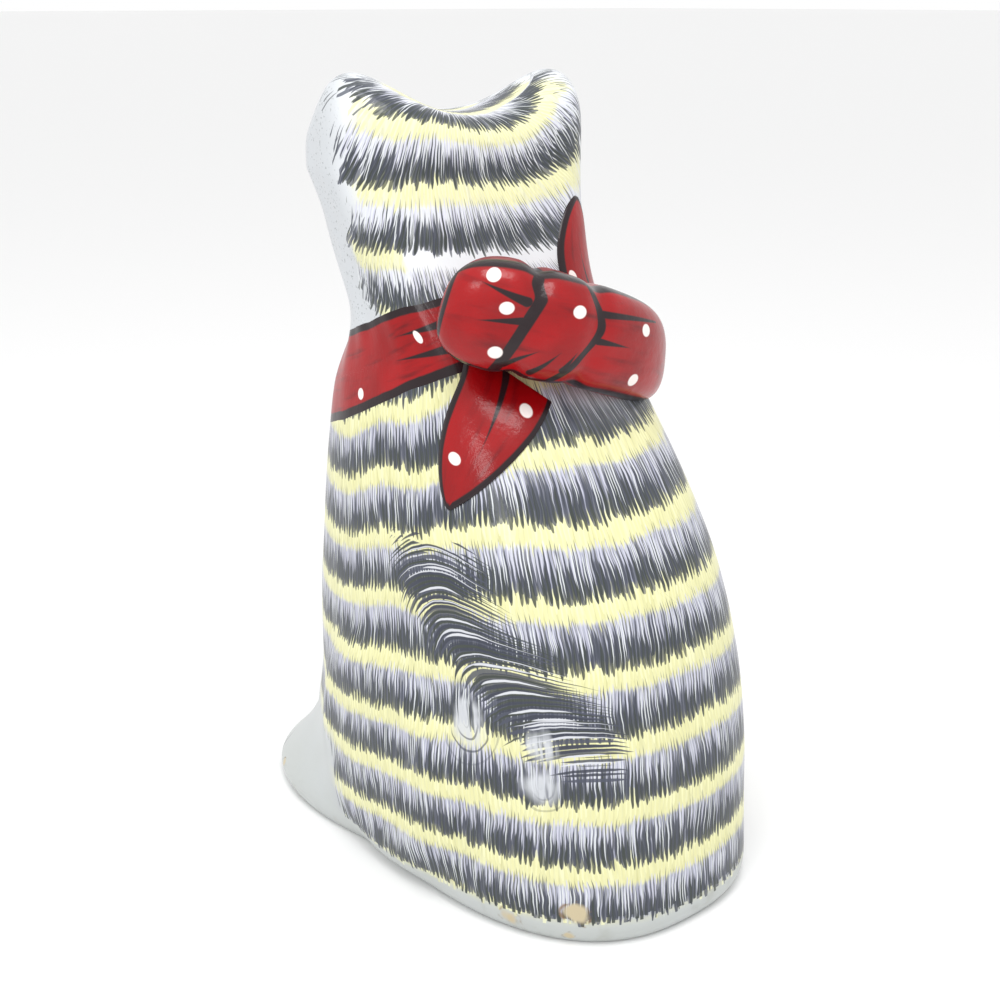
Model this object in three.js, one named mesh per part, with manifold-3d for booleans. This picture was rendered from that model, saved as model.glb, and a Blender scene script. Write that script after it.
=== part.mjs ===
// Papier-mache cat ornament: a seated cat made as one hollow moulded casting, with the ribbon bow
// at the back of its neck moulded in the same shell.
//
// Millimetres, +Z up. The cat faces -Y and its left side is +X. The origin is the centre of the
// flat underside that it stands on.
//
// The coat is one closed grid: rings of points climb from the flat foot to the crown, each ring a
// rounded rectangle (a superellipse) whose front, back and width come from the sections below.
// Paws, forelegs, haunches, tail and muzzle push the ring in or out by a few millimetres. The bow
// is a thick roll laid across the nape, and the two ribbon ends are thin leaves lying on the coat.
// The ribbon round the neck is flush with the coat, so it is left to the paint.

import * as THREE from 'three';
import Module from 'manifold-3d';

// ---- driving dimensions ----

// height, front, back, half width, squareness of the ring (2 is an ellipse, more is boxier)
const SECTIONS = [
  [0, -74, 114, 65, 2.5],
  [30, -76, 111, 67, 2.5],
  [60, -76, 108.5, 67, 2.5],
  [90, -76, 103, 66, 2.5],
  [120, -77, 95, 63, 2.4],
  [150, -77, 80, 59, 2.3],
  [180, -71, 57, 53, 2.4],
  [205, -58, 31, 47, 2.6],
  [225, -61, 18, 46, 2.8],
  [250, -67, 8, 49, 3.0],
  [280, -75, -3, 56, 3.1],
];
const [FRONT, BACK, HALF_WIDTH, SQUARENESS] = [1, 2, 3, 4];

const HEAD = { turn: -15, from: 195, to: 240, faceSquareness: 2.25 }; // turned to its own right
const CROWN = { start: 264, top: 285, roll: 5, faceRoll: 2.8, forehead: 13 };
const EAR = { side: 51, middle: 9, behind: 30, before: 15, height: 19 };

const FOOT_ROUND = { height: 8, depth: 4 };
const PAW = { reach: 37, top: 36, wristTop: 66, inner: 10, outer: 70 };
const HAUNCH = { angle: 98, height: 48, radius: 50, raised: 3.5, bodyRadius: 72 };
const TAIL = { height: 18, thick: 11, raised: 8 };

// The bow, a roll wrapped round the nape: the point it curves about, its radius there, the angle of
// its middle and the angle it reaches each way, how it slopes down to the cat's right and sags at
// the ends, how far its section leans, half height, half thickness, the extra thickness of the
// knot, the backing that joins it to the neck, and where the strap round the knot pinches it
// (along the bow, from -1 on the cat's left to 1).
const BOW = {
  middle: [0, -5, 212.3], radius: 56.5, angle: 6, spread: 51, slope: 17, sag: 4, lean: 0.3,
  height: 18, taper: 1.5, flare: 1.5, thick: 13, knot: 1.5, backing: 10, square: 2.7, endSquare: 5,
  pinch: 0.09, strap: [-0.45, -0.05],
};

// A ribbon end: where it leaves the knot and its tip (degrees round from the back, height), its
// half width, the radius of the neck there, and how each edge narrows towards the tip.
const LOWER_END = {
  root: [28, 198], tip: [57, 153], half: 17, radius: 62, raised: 1.6,
  left: [3, 0.7], right: [1, 0.75],
};
const UPPER_END = {
  root: [-43, 214], tip: [-53, 254], half: 12.5, radius: 45, raised: 1.4,
  left: [3, 0.7], right: [3, 0.7],
};

// how finely the surface is divided
const AROUND = 80;
const WALL_RINGS = 36;
const CROWN_RINGS = 8;
const BOW_RINGS = 26;
const BOW_AROUND = 20;
const END_RINGS = 12;

const PAINT = { color: '#c9cbc4', roughness: 0.35, metalness: 0 };

// ---- small helpers ----

const radians = (degrees) => degrees * Math.PI / 180;
const clamp = (x, low, high) => Math.min(high, Math.max(low, x));

// eases from 0 at a to 1 at b
function ease(a, b, x) {
  const t = clamp((x - a) / (b - a), 0, 1);
  return t * t * (3 - 2 * t);
}

// 1 at the centre, falling away smoothly over the given width
const bump = (x, centre, width) => Math.exp(-(((x - centre) / width) ** 2));

// a power that keeps the sign
const power = (x, p) => Math.sign(x) * Math.abs(x) ** p;

// slope of a section column at station k, from its neighbours
function slope(k, column) {
  const below = SECTIONS[Math.max(k - 1, 0)];
  const above = SECTIONS[Math.min(k + 1, SECTIONS.length - 1)];
  return (above[column] - below[column]) / (above[0] - below[0]);
}

// a section column at any height, as a smooth curve through the stations
function section(height, column) {
  let k = SECTIONS.length - 2;
  while (k > 0 && SECTIONS[k][0] > height) k -= 1;
  const low = SECTIONS[k];
  const high = SECTIONS[k + 1];
  const span = high[0] - low[0];
  const t = clamp((height - low[0]) / span, 0, 1);
  const [t2, t3] = [t * t, t * t * t];
  return (2 * t3 - 3 * t2 + 1) * low[column]
    + (t3 - 2 * t2 + t) * span * slope(k, column)
    + (3 * t2 - 2 * t3) * high[column]
    + (t3 - t2) * span * slope(k + 1, column);
}

// ---- relief, in mm outwards; angle is in degrees from the back, positive on the cat's left ----

// the two forepaws, the split between them, and the forelegs above
function forelegs(front, height) {
  const spread = 1 - ease(PAW.inner, PAW.outer, front);
  const toes = 0.85 * (1 - ease(2, PAW.top, height));
  const wrist = 0.15 * (1 - ease(26, PAW.wristTop, height));
  const split = 7 * bump(front, 0, 5) * (1 - ease(20, 46, height));
  const leg = ease(12, 36, height) * (1 - ease(95, 138, height));
  const columns = 6 * bump(front, 18, 11) - 5 * bump(front, 0, 7);
  return PAW.reach * spread * (toes + wrist) - split + leg * columns;
}

// a soft swelling over each hind leg
function haunch(angle, height) {
  const along = radians(Math.abs(angle) - HAUNCH.angle) * HAUNCH.bodyRadius;
  const away = Math.hypot(along, height - HAUNCH.height) / HAUNCH.radius;
  return HAUNCH.raised * (1 - ease(0.7, 1.08, away));
}

// the tail lies along the foot on the cat's right, from behind it to the right forepaw
function tail(angle, height) {
  const length = ease(-60, -95, angle) * (1 - ease(-140, -156, angle));
  return TAIL.raised * bump(height, TAIL.height, TAIL.thick) * length;
}

// muzzle, cheeks, nose, chin and shallow eye sockets
function face(front, height) {
  const muzzle = 13 * bump(front, 0, 20) * bump(height, 236, 14);
  const pads = 2.5 * bump(front, 11, 8) * bump(height, 233, 9);
  const cheeks = 3 * bump(front, 52, 20) * bump(height, 236, 16);
  const nose = 2.5 * bump(front, 0, 7) * bump(height, 244, 6);
  const chin = 3 * bump(front, 0, 12) * bump(height, 221, 7);
  const sockets = 3 * bump(front, 26, 9) * bump(height, 256, 8);
  return muzzle + pads + cheeks + nose + chin - sockets;
}

function relief(angle, height) {
  const front = 180 - Math.abs(angle);
  const round = FOOT_ROUND.depth * clamp(1 - height / FOOT_ROUND.height, 0, 1) ** 2;
  return forelegs(front, height) + haunch(angle, height) + tail(angle, height)
    + face(front, height) - round;
}

// ---- the coat ----

// height of the crown over a point of the head, with its two low ears and the falling forehead
function crown(x, y) {
  const aside = clamp(Math.abs(Math.abs(x) - EAR.side) / EAR.side, 0, 1);
  const lift = 0.5 * (1 + Math.cos(Math.PI * aside));
  const depth = y - EAR.middle;
  const thick = Math.exp(-((depth / (depth > 0 ? EAR.behind : EAR.before)) ** 2));
  const forehead = CROWN.forehead * clamp((-y - 2) / 45, 0, 1) ** 1.5;
  return CROWN.top + EAR.height * lift * thick - forehead;
}

// A point of the coat: angle from the back, height on the wall, how far over the crown (0 to 1),
// and how far outside the surface.
function coat(angle, height, over = 0, outside = 0) {
  const [s, c] = [Math.sin(radians(angle)), Math.cos(radians(angle))];
  const front = section(height, FRONT);
  const back = section(height, BACK);
  const boxy = section(height, SQUARENESS);
  const faceward = ease(0, 0.7, -c) * ease(190, 230, height);
  const n = boxy - (boxy - HEAD.faceSquareness) * faceward;
  const across = Math.abs(s) / section(height, HALF_WIDTH);
  const lengthways = Math.abs(c) / ((back - front) / 2);
  const radius = (across ** n + lengthways ** n) ** (-1 / n) + relief(angle, height) + outside;
  const roll = CROWN.roll + (CROWN.faceRoll - CROWN.roll) * ease(0.2, 0.9, -c);
  const inward = Math.cos(over * Math.PI / 2) ** (2 / roll);
  const upward = over > 0 ? Math.sin(over * Math.PI / 2) ** (2 / roll) : 0;
  const x = radius * inward * s;
  const y = radius * inward * c;
  const turn = radians(HEAD.turn) * ease(HEAD.from, HEAD.to, height);
  return new THREE.Vector3(
    x * Math.cos(turn) - y * Math.sin(turn),
    x * Math.sin(turn) + y * Math.cos(turn) + (front + back) / 2,
    height + upward * (crown(x, y) - height),
  );
}

// joins rings of points into one closed body, with a point before the first and after the last
function closedRings(rings, first, final) {
  const count = rings[0].length;
  const points = [first, ...rings.flat(), final];
  const last = points.length - 1;
  const faces = [];
  for (let i = 0; i < count; i += 1) {
    const next = (i + 1) % count;
    faces.push(0, 1 + i, 1 + next);
    for (let k = 0; k < rings.length - 1; k += 1) {
      const low = 1 + k * count;
      const high = low + count;
      faces.push(low + i, high + next, low + next);
      faces.push(low + i, high + i, high + next);
    }
    faces.push(last - count + i, last, last - count + next);
  }
  return { points, faces };
}

function coatBody() {
  const angles = Array.from({ length: AROUND }, (_, i) => -180 + 360 * i / AROUND);
  const heights = [0, FOOT_ROUND.height * 0.4];
  for (let k = 1; k <= WALL_RINGS; k += 1) heights.push(CROWN.start * k / WALL_RINGS);
  const rings = heights.map((height) => angles.map((angle) => coat(angle, height)));
  for (let k = 1; k < CROWN_RINGS; k += 1) {
    rings.push(angles.map((angle) => coat(angle, CROWN.start, k / CROWN_RINGS)));
  }
  const middle = (section(0, FRONT) + section(0, BACK)) / 2;
  return closedRings(rings, new THREE.Vector3(0, middle, 0), coat(0, CROWN.start, 1));
}

// ---- the bow ----

// a point of the roll: along it from -1 (the cat's left) to 1, and the angle around it
function bowPoint(along, around) {
  const [x, y, z] = BOW.middle;
  const end = (1 - Math.abs(along) ** BOW.endSquare) ** (1 / BOW.square);
  const strap = BOW.strap.reduce((sum, at) => sum + bump(along, at, 0.07), 0);
  const size = end * (1 - BOW.pinch * strap);
  const tall = (BOW.height - BOW.taper * along + BOW.flare * along ** 2) * size;
  const knot = BOW.knot * bump(along, (BOW.strap[0] + BOW.strap[1]) / 2, 0.2);
  const rise = tall * power(Math.sin(around), 2 / BOW.square);
  const outward = power(Math.cos(around), 2 / BOW.square);
  const backing = outward < 0 ? BOW.backing : 0;
  const radius = BOW.radius + (BOW.thick + knot + backing) * size * outward;
  const angle = radians(BOW.angle - BOW.spread * along);
  const [s, c] = [Math.sin(angle), Math.cos(angle)];
  return new THREE.Vector3(
    x + radius * s - BOW.lean * rise * c,
    y + radius * c + BOW.lean * rise * s,
    z - BOW.slope * along - BOW.sag * along ** 2 + rise,
  );
}

function bowBody() {
  const rings = [];
  for (let k = 1; k < BOW_RINGS; k += 1) {
    const along = Math.sin(Math.PI * (k / BOW_RINGS - 0.5));
    const ring = [];
    for (let i = 0; i < BOW_AROUND; i += 1) ring.push(bowPoint(along, 2 * Math.PI * i / BOW_AROUND));
    rings.push(ring);
  }
  return closedRings(rings, bowPoint(-1, 0), bowPoint(1, 0));
}

// A ribbon end lying on the coat. Each ring runs over the raised face from edge to edge and back
// through the coat: share of the half width, then share of the raised height (below 0 is inside).
const END_SECTION = [
  [1, -1], [0.88, 0.75], [0.5, 1], [0, 1.1], [-0.5, 1], [-0.88, 0.75], [-1, -1], [-0.5, -2], [0.5, -2],
];

function endBody(end) {
  const reach = radians(end.tip[0] - end.root[0]) * end.radius;
  const rise = end.tip[1] - end.root[1];
  const length = Math.hypot(reach, rise);
  const place = (along, share, out) => {
    const [bow, narrow] = share > 0 ? end.left : end.right;
    const side = share * end.half * (1 - along ** bow) ** narrow;
    const across = (along * reach - side * rise / length) / end.radius;
    const height = end.root[1] + along * rise + side * reach / length;
    return coat(end.root[0] + across * 180 / Math.PI, height, 0, out * end.raised);
  };
  const rings = [];
  for (let k = 0; k < END_RINGS; k += 1) {
    rings.push(END_SECTION.map(([share, out]) => place(k / END_RINGS, share, out)));
  }
  return closedRings(rings, place(0, 0, 0), place(1, 0, 0));
}

// ---- joining ----

const wasm = await Module();
wasm.setup();

function solid({ points, faces }) {
  const vertProperties = new Float32Array(points.flatMap((p) => [p.x, p.y, p.z]));
  const triVerts = new Uint32Array(faces);
  const body = new wasm.Manifold(new wasm.Mesh({ numProp: 3, vertProperties, triVerts }));
  if (body.volume() <= 0) throw new Error('a body has its faces turned inwards');
  return body;
}

function geometryOf(body) {
  const mesh = body.getMesh();
  const geometry = new THREE.BufferGeometry();
  geometry.setAttribute('position', new THREE.BufferAttribute(mesh.vertProperties, 3));
  geometry.setIndex(new THREE.BufferAttribute(mesh.triVerts, 1));
  geometry.computeVertexNormals();
  return geometry;
}

const trims = [bowBody(), endBody(LOWER_END), endBody(UPPER_END)];
const whole = trims.reduce((joined, trim) => joined.add(solid(trim)), solid(coatBody()));
const geometry = geometryOf(whole);
geometry.computeBoundingBox();
const { min, max } = geometry.boundingBox;
geometry.translate(-(min.x + max.x) / 2, -(min.y + max.y) / 2, -min.z);

const cat = new THREE.Mesh(geometry, new THREE.MeshStandardMaterial(PAINT));
cat.name = 'cat';

const ornament = new THREE.Group();
ornament.add(cat);
export default ornament;
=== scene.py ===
# %% [markdown]
# # A papier-mache cat, painted with brush strokes
#
# The real ornament is a hollow shell of paper and glue, pressed in a mould, primed white and
# painted by hand. Everything that says "fur" is a brush stroke about a millimetre wide.
# So the work splits in two: a few smooth surfaces from formulas, and a coat of paint that is built
# up layer by layer, in the order in which a painter lays it.
#
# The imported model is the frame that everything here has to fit, so it is loaded first.

import math

import bpy
import numpy as np
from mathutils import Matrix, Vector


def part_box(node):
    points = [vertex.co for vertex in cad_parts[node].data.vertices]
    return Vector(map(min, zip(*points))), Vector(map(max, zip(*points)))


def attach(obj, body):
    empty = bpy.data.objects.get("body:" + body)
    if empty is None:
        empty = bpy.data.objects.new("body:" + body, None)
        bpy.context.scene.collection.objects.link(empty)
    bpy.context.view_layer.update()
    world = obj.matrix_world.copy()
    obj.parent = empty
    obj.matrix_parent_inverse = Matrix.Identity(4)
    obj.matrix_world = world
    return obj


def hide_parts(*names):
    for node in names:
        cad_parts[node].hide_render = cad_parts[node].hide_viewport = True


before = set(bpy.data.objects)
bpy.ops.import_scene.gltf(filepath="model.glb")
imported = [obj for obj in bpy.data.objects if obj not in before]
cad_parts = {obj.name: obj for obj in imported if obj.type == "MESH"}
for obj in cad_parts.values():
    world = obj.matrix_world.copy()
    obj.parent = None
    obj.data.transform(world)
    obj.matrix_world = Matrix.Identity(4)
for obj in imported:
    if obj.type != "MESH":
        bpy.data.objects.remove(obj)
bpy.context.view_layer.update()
low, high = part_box("cat")
print("the cat measures, in mm:", [round(1000 * (b - a), 1) for a, b in zip(low, high)])

# %% [markdown]
# ## Two small curves that shape everything
#
# Nearly every swelling on this cat is one of two curves: `ease`, a step with soft shoulders, and
# `bump`, a soft hill. Both work on whole arrays, so one call bends a hundred thousand points.


# %% Steps, hills and signed powers
def ease(start, end, x):
    """0 before start, 1 after end, and 3t^2 - 2t^3 between them, t being the share of the way."""
    t = np.clip((x - start) / (end - start), 0, 1)
    return t * t * (3 - 2 * t)


def bump(x, centre, width):
    """A hill: e to the power of minus the squared distance from the centre, in widths."""
    return np.exp(-(((x - centre) / width) ** 2))


def power(x, p):
    """The size of x to the power p, with the sign of x kept."""
    return np.sign(x) * np.abs(x) ** p


print("halfway up the step:", ease(0, 2, 1.0), " one width from the hill:", bump(1.0, 0, 1).round(3))

# %% [markdown]
# ## The outline, read from eleven heights
#
# A moulded cat has no corners, but it is far from round: seen from above it is a rounded rectangle
# that is long near the floor and short at the neck. A superellipse describes such a ring with four
# numbers, so the whole body is a small table, joined by a smooth cubic curve.

# %% The rings of the body, in mm
SECTIONS = np.array(
    [  # height, front, back, half width, squareness (2 is an ellipse, more is boxier)
        [0, -74, 114, 65, 2.5],
        [30, -76, 111, 67, 2.5],
        [60, -76, 108.5, 67, 2.5],
        [90, -76, 103, 66, 2.5],
        [120, -77, 95, 63, 2.4],
        [150, -77, 80, 59, 2.3],
        [180, -71, 57, 53, 2.4],
        [205, -58, 31, 47, 2.6],
        [225, -61, 18, 46, 2.8],
        [250, -67, 8, 49, 3.0],
        [280, -75, -3, 56, 3.1],
    ]
)
STATIONS = SECTIONS[:, 0]
FRONT, BACK, HALF_WIDTH, SQUARENESS = SECTIONS[:, 1:].T


def slopes(column):
    """At each station, the rise between its two neighbours over the height between them."""
    above = np.append(column[1:], column[-1])
    below = np.insert(column[:-1], 0, column[0])
    span = np.append(STATIONS[1:], STATIONS[-1]) - np.insert(STATIONS[:-1], 0, STATIONS[0])
    return (above - below) / span


def section(height, column):
    """A cubic Hermite curve: it meets each station with the slope that slopes() gives there."""
    k = np.clip(np.searchsorted(STATIONS, height, side="right") - 1, 0, len(STATIONS) - 2)
    span = STATIONS[k + 1] - STATIONS[k]
    t = np.clip((height - STATIONS[k]) / span, 0, 1)
    slope = slopes(column)
    from_values = (2 * t**3 - 3 * t**2 + 1) * column[k] + (3 * t**2 - 2 * t**3) * column[k + 1]
    from_slopes = (t**3 - 2 * t**2 + t) * slope[k] + (t**3 - t**2) * slope[k + 1]
    return from_values + from_slopes * span


print("half width at the neck, in mm:", section(np.array([215.0]), HALF_WIDTH).round(1))

# %% [markdown]
# ## Relief: what pushes the rings in and out
#
# A point is named by its angle, counted in degrees from the back of the cat and positive on the
# cat's own left, and by its height. Paws, haunches, tail and muzzle are hills in those two numbers.
# Sculpting them by hand would look much the same, but could not be changed by editing a number.


# %% Paws, haunches, tail and face
def forelegs(front, height):
    """Two paws at the foot, the split between them, and the legs above; front is 0 at the nose."""
    spread = 1 - ease(10, 70, front)
    toes = 0.85 * (1 - ease(2, 36, height)) + 0.15 * (1 - ease(26, 66, height))
    split = 7 * bump(front, 0, 5) * (1 - ease(20, 46, height))
    leg = ease(12, 36, height) * (1 - ease(95, 138, height))
    return 37 * spread * toes - split + leg * (6 * bump(front, 18, 11) - 5 * bump(front, 0, 7))


def haunch(angle, height):
    """A soft dome 3.5 mm high over each hind leg, from the distance to its centre."""
    along = np.radians(np.abs(angle) - 98) * 72
    return 3.5 * (1 - ease(0.7, 1.08, np.hypot(along, height - 48) / 50))


def tail(angle, height):
    """A ridge 8 mm high along the foot on the cat's right, from behind it to the right paw."""
    return 8 * bump(height, 18, 11) * ease(-60, -95, angle) * (1 - ease(-140, -156, angle))


def face(front, height):
    """Muzzle, whisker pads, cheeks, nose and chin as hills, less two shallow eye sockets."""
    muzzle = 13 * bump(front, 0, 20) * bump(height, 236, 14)
    pads = 2.5 * bump(front, 11, 8) * bump(height, 233, 9)
    cheeks = 3 * bump(front, 52, 20) * bump(height, 236, 16)
    nose = 2.5 * bump(front, 0, 7) * bump(height, 244, 6)
    chin = 3 * bump(front, 0, 12) * bump(height, 221, 7)
    sockets = 3 * bump(front, 26, 9) * bump(height, 256, 8)
    return muzzle + pads + cheeks + nose + chin - sockets


def relief(angle, height):
    """The sum of all of them, less the rounding of the bottom edge."""
    front = 180 - np.abs(angle)
    rounding = 4 * np.clip(1 - height / 8, 0, 1) ** 2
    body = forelegs(front, height) + haunch(angle, height) + tail(angle, height)
    return body + face(front, height) - rounding


print("how far the muzzle stands out, in mm:", face(np.array([0.0]), np.array([238.0])).round(1))

# %% [markdown]
# ## Crown and ears
#
# The ears are not separate shapes: the top of the head is one saddle, high at both sides and low
# between them. The wall rolls over into it, tightly at the back and softly at the forehead.

# %% A point of the coat
CROWN_START = 264.0
HEAD_TURN = math.radians(-15)


def crown(x, y):
    """A saddle 285 mm up, plus a raised cosine across each ear, less the falling forehead."""
    aside = np.clip(np.abs(np.abs(x) - 51) / 51, 0, 1)
    lift = 0.5 * (1 + np.cos(np.pi * aside))
    depth = y - 9
    thick = np.exp(-((depth / np.where(depth > 0, 30, 15)) ** 2))
    return 285 + 19 * lift * thick - 13 * np.clip((-y - 2) / 45, 0, 1) ** 1.5


def coat(angle, height, over=0.0, outside=0.0):
    """A superellipse ring plus the relief; over, from 0 to 1, rolls it inwards to the crown."""
    sine, cosine = np.sin(np.radians(angle)), np.cos(np.radians(angle))
    front, back = section(height, FRONT), section(height, BACK)
    boxy = section(height, SQUARENESS)
    n = boxy - (boxy - 2.25) * ease(0, 0.7, -cosine) * ease(190, 230, height)
    across = np.abs(sine) / section(height, HALF_WIDTH)
    lengthways = np.abs(cosine) / ((back - front) / 2)
    radius = (across**n + lengthways**n) ** (-1 / n) + relief(angle, height) + outside
    roll = 5 - 2.2 * ease(0.2, 0.9, -cosine)
    inward = np.cos(np.asarray(over) * np.pi / 2) ** (2 / roll)
    upward = np.sin(np.asarray(over) * np.pi / 2) ** (2 / roll)
    x, y = radius * inward * sine, radius * inward * cosine
    turn = HEAD_TURN * ease(195, 240, height)
    return np.stack(
        [
            x * np.cos(turn) - y * np.sin(turn),
            x * np.sin(turn) + y * np.cos(turn) + (front + back) / 2,
            height + upward * (crown(x, y) - height),
        ],
        -1,
    )


print("the middle of the back, 100 mm up:", coat(np.array(0.0), np.array(100.0)).round(1))

# %% [markdown]
# ## The bow and the ribbon ends
#
# The bow is moulded with the cat as one fat roll round the nape. Only its paint makes two loops and
# a knot of it, helped by two shallow grooves. The ribbon ends are leaves lying on the coat.


# %% The roll of the bow
def bow(along, around):
    """A squarish roll on an arc: along runs from the cat's left (-1) to its right (1)."""
    end = np.clip(1 - np.abs(along) ** 5, 0, 1) ** (1 / 2.7)
    size = end * (1 - 0.09 * (bump(along, -0.45, 0.07) + bump(along, -0.05, 0.07)))
    tall = (18 - 1.5 * along + 1.5 * along**2) * size
    rise = tall * power(np.sin(around), 2 / 2.7)
    outward = power(np.cos(around), 2 / 2.7)
    thick = 13 + 1.5 * bump(along, -0.25, 0.2) + np.where(outward < 0, 10, 0)
    radius = 56.5 + thick * size * outward
    angle = np.radians(6 - 51 * along)
    x = radius * np.sin(angle) - 0.3 * rise * np.cos(angle)
    y = -5 + radius * np.cos(angle) + 0.3 * rise * np.sin(angle)
    return np.stack([x, y, 212.3 - 17 * along - 4 * along**2 + rise], -1), rise


print("the middle of the bow:", bow(np.array(0.0), np.array(0.0))[0].round(1))

# %% A ribbon end
LOWER_END = {"root": (28, 198), "tip": (57, 153), "half": 17, "radius": 62, "raised": 1.6}
LOWER_END |= {"left": (3, 0.7), "right": (1, 0.75)}
UPPER_END = {"root": (-43, 214), "tip": (-53, 254), "half": 12.5, "radius": 45, "raised": 1.4}
UPPER_END |= {"left": (3, 0.7), "right": (3, 0.7)}


def on_end(end, along, share):
    """Angle and height on the coat: along the leaf from root to tip, and across it from 1 to -1."""
    reach = math.radians(end["tip"][0] - end["root"][0]) * end["radius"]
    rise = end["tip"][1] - end["root"][1]
    length = math.hypot(reach, rise)
    left = (1 - along ** end["left"][0]) ** end["left"][1]
    right = (1 - along ** end["right"][0]) ** end["right"][1]
    side = share * end["half"] * np.where(share > 0, left, right)
    across = (along * reach - side * rise / length) / end["radius"]
    height = end["root"][1] + along * rise + side * reach / length
    return end["root"][0] + np.degrees(across), height


print("tip of the lower end, degrees and mm:", on_end(LOWER_END, np.array(1.0), np.array(0.0)))

# %% [markdown]
# ## From formulas to meshes
#
# A ring of points for every height, joined to the next ring by four-sided faces, gives a closed
# shell with one point at each end. Each corner of each face also carries the numbers that the paint
# needs. They sit on corners, not on points, because the last column of faces has to read "360
# degrees" at the very point where the first column reads "0".

# %% A closed shell from rings
outline = coat(*np.meshgrid(np.linspace(-180, 180, 361), np.linspace(0, CROWN_START, 265)))
outline = outline.reshape(-1, 3)
corner_bow = bow(*np.meshgrid(np.linspace(-1, 1, 101), np.linspace(-np.pi, np.pi, 91)))[0]
both = np.concatenate([outline, corner_bow.reshape(-1, 3)])
CENTRE = np.array([*(both.min(0) + both.max(0))[:2] / 2, 0.0])
CENTRE[:2] -= 500 * np.array([low.x + high.x, low.y + high.y])
MM = 0.001


def shell(name, rings, first, last, values):
    """Joins rings (rows x columns x 3, in mm) and the two end points into one closed mesh.

    values gives each attribute as rows x (columns + 1) x 3, the last column being the first one
    again with its own numbers. An end point takes the numbers of the ring next to it.
    """
    rows, columns = rings.shape[:2]
    points = np.concatenate([first[None], rings.reshape(-1, 3), last[None]])
    points = (points - CENTRE) * MM
    column = np.arange(columns)
    after = (column + 1) % columns
    base = 1 + columns * np.arange(rows - 1)[:, None]
    quads = np.stack([base + column, base + columns + column, base + columns + after, base + after], -1)
    top = 1 + columns * (rows - 1)
    start_fan = np.stack([np.zeros_like(column), 1 + column, 1 + after], -1)
    end_fan = np.stack([top + column, np.full_like(column, len(points) - 1), top + after], -1)
    mesh = bpy.data.meshes.new(name)
    faces = start_fan.tolist() + quads.reshape(-1, 4).tolist() + end_fan.tolist()
    mesh.from_pydata(points.tolist(), [], faces)
    for label, value in values.items():
        corners = [
            np.stack([value[0, :-1], value[0, :-1], value[0, 1:]], 1).reshape(-1, 3),
            np.stack([value[:-1, :-1], value[1:, :-1], value[1:, 1:], value[:-1, 1:]], 2).reshape(-1, 3),
            np.stack([value[-1, :-1], value[-1, :-1], value[-1, 1:]], 1).reshape(-1, 3),
        ]
        layer = mesh.attributes.new(label, "FLOAT_VECTOR", "CORNER")
        layer.data.foreach_set("vector", np.concatenate(corners).astype(np.float32).ravel())
    mesh.shade_smooth()
    mesh.set_sharp_from_angle(angle=math.radians(45))
    piece = bpy.data.objects.new(name, mesh)
    bpy.context.scene.collection.objects.link(piece)
    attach(piece, "root")
    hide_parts("cat")
    print(f"{name}: {2 * rows * columns} triangles")
    return piece


print("middle of the outline, in mm:", CENTRE.round(2))

# %% [markdown]
# ## The coat
#
# The wall needs rings about a millimetre apart. Over the crown equal steps of the formula would
# crowd at the rim and leave wide gaps on top, so the steps are made equal in length instead.
# Papier-mache is never quite flat: a few long, low waves in the shell catch the light as it does.

# %% Where the rings lie
COLUMNS = 320
angles = np.linspace(-180, 180, COLUMNS + 1)
fine = np.linspace(0, 1, 4001)
track = np.stack([52 * np.cos(fine * np.pi / 2) ** 0.4, 24 * np.sin(fine * np.pi / 2) ** 0.4], -1)
length = np.insert(np.hypot(*np.diff(track, axis=0).T).cumsum(), 0, 0)
over_steps = np.interp(np.linspace(0, length[-1], 60)[1:-1], length, fine)
over_length = np.interp(over_steps, fine, length)
under_steps = np.linspace(0, 1, 9)[1:-1]
wall_heights = np.concatenate([[0, 0.5, 1.2, 2.2, 3.5, 5, 6.5], np.arange(8, CROWN_START + 0.1, 1.2)])
heights = np.concatenate([np.zeros(len(under_steps)), wall_heights, np.full(len(over_steps), CROWN_START)])
overs = np.concatenate([np.zeros(len(under_steps) + len(wall_heights)), over_steps])
ANGLE, HEIGHT = np.meshgrid(angles, heights)
OVER = np.meshgrid(angles, overs)[1]
print(len(heights), "rings of", COLUMNS, "points")


# %% Low waves in the shell
def waves(angle, height, size, number, seed):
    """A sum of sine waves of random direction and phase, whole numbers of them round the cat."""
    chance = np.random.default_rng(seed)
    total = np.zeros_like(angle)
    for _ in range(number):
        turns = chance.integers(3, 26)
        climb = chance.uniform(-0.16, 0.16)
        total += np.sin(np.radians(angle) * turns + climb * height + chance.uniform(0, 2 * np.pi))
    return size * total / math.sqrt(number)


lumps = waves(ANGLE, HEIGHT + 40 * OVER, 0.16, 14, 3) * ease(3, 14, HEIGHT) * (1 - ease(0.5, 0.9, OVER))
rings = coat(ANGLE, HEIGHT, OVER, lumps)
foot_middle = np.array([0, (FRONT[0] + BACK[0]) / 2, 0])
share = np.concatenate([under_steps, np.ones(len(heights) - len(under_steps))])[:, None, None]
rings = foot_middle + (rings - foot_middle) * share
print("lowest and highest point:", rings[..., 2].min(), rings[..., 2].max().round(1))

# %% [markdown]
# ## Coordinates for the paint
#
# The painter worked round the cat in bands, with every stroke pulled downwards. So the paint needs
# to know how far round a point is (in equal lengths, not equal angles) and where it lies between
# one pale band and the next. Whole numbers of that second coordinate are the pale bands' middles.

# %% How far round, and which band
ring_at_knee = coat(angles, np.full(COLUMNS + 1, 90.0))
steps = np.hypot(*np.diff(ring_at_knee[:, :2], axis=0).T)
share_round = np.insert(steps.cumsum(), 0, 0) / steps.sum()
AROUND = np.broadcast_to(share_round, ANGLE.shape)

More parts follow.
